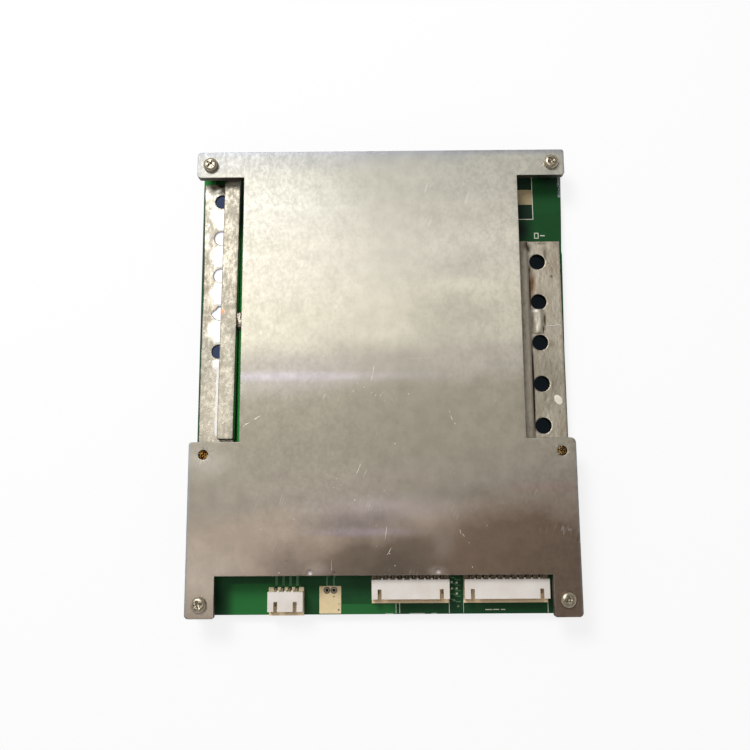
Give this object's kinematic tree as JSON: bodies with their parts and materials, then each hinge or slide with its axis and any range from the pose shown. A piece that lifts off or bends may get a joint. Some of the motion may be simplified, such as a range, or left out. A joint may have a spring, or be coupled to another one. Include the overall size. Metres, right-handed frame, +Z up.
{
  "type": "battery management board",
  "caption": "Battery management circuit board under a notched aluminium heat spreader, with tinned busbars for cables at both sides and side-entry headers along one end.",
  "frame": {"origin": "under the middle of the plate, on the surface that the nuts stand on", "axes": "+Y along the longer side, away from the headers; +X to the right seen from above with the headers nearest; +Z up through the plate"},
  "size_m": [0.138, 0.171, 0.016],
  "materials": {
    "plate": "satin, fine scratches",
    "board": "green solder mask, semi-gloss",
    "tinned_copper": "dull tinned, uneven",
    "solder": "bright, flowed",
    "glue": "dull white",
    "brass": "machined",
    "nickel": "nickel plated",
    "header_plastic": "ivory nylon",
    "pin_metal": "tin plated",
    "epoxy": "moulded black",
    "thermal_pad": "soft grey",
    "shunt_alloy": "bare alloy",
    "can": "satin can",
    "white_package": "moulded white",
    "ceramic": "fired ceramic",
    "ferrite": "ferrite, dull"
  },
  "bodies": {
    "root": {"heatsink_plate": "plate", "circuit_board": "board", "left_busbar_strip": "tinned_copper", "left_busbar_bar": "tinned_copper", "left_bar_solder": "solder", "solder_lump": "solder", "right_busbar_strip": "tinned_copper", "right_busbar_bar": "tinned_copper", "right_bar_solder": "solder", "glue_dab": "glue", "corner_spacers": "brass", "left_spacer": "brass", "right_spacer": "brass", "plate_screws": "nickel", "spacer_nuts": "nickel", "comm_header_housing": "header_plastic", "comm_header_pins": "pin_metal", "balance_header_a_housing": "header_plastic", "balance_header_a_pins": "pin_metal", "balance_header_b_housing": "header_plastic", "balance_header_b_pins": "pin_metal", "pin_solder": "solder", "left_fet_bodies": "epoxy", "left_fet_leads": "pin_metal", "left_thermal_pad": "thermal_pad", "right_fet_bodies": "epoxy", "right_fet_leads": "pin_metal", "right_thermal_pad": "thermal_pad", "current_shunts": "shunt_alloy", "surge_diodes": "epoxy", "gate_drivers": "epoxy", "front_end_chip_a": "epoxy", "front_end_chip_b": "epoxy", "microcontroller": "epoxy", "crystal": "can", "optocouplers": "white_package", "balance_resistors": "epoxy", "balance_transistors": "epoxy", "electrolytic_capacitors": "can", "ceramic_capacitors": "ceramic", "power_inductor": "ferrite", "supply_regulator": "epoxy"}
  },
  "joints": []
}
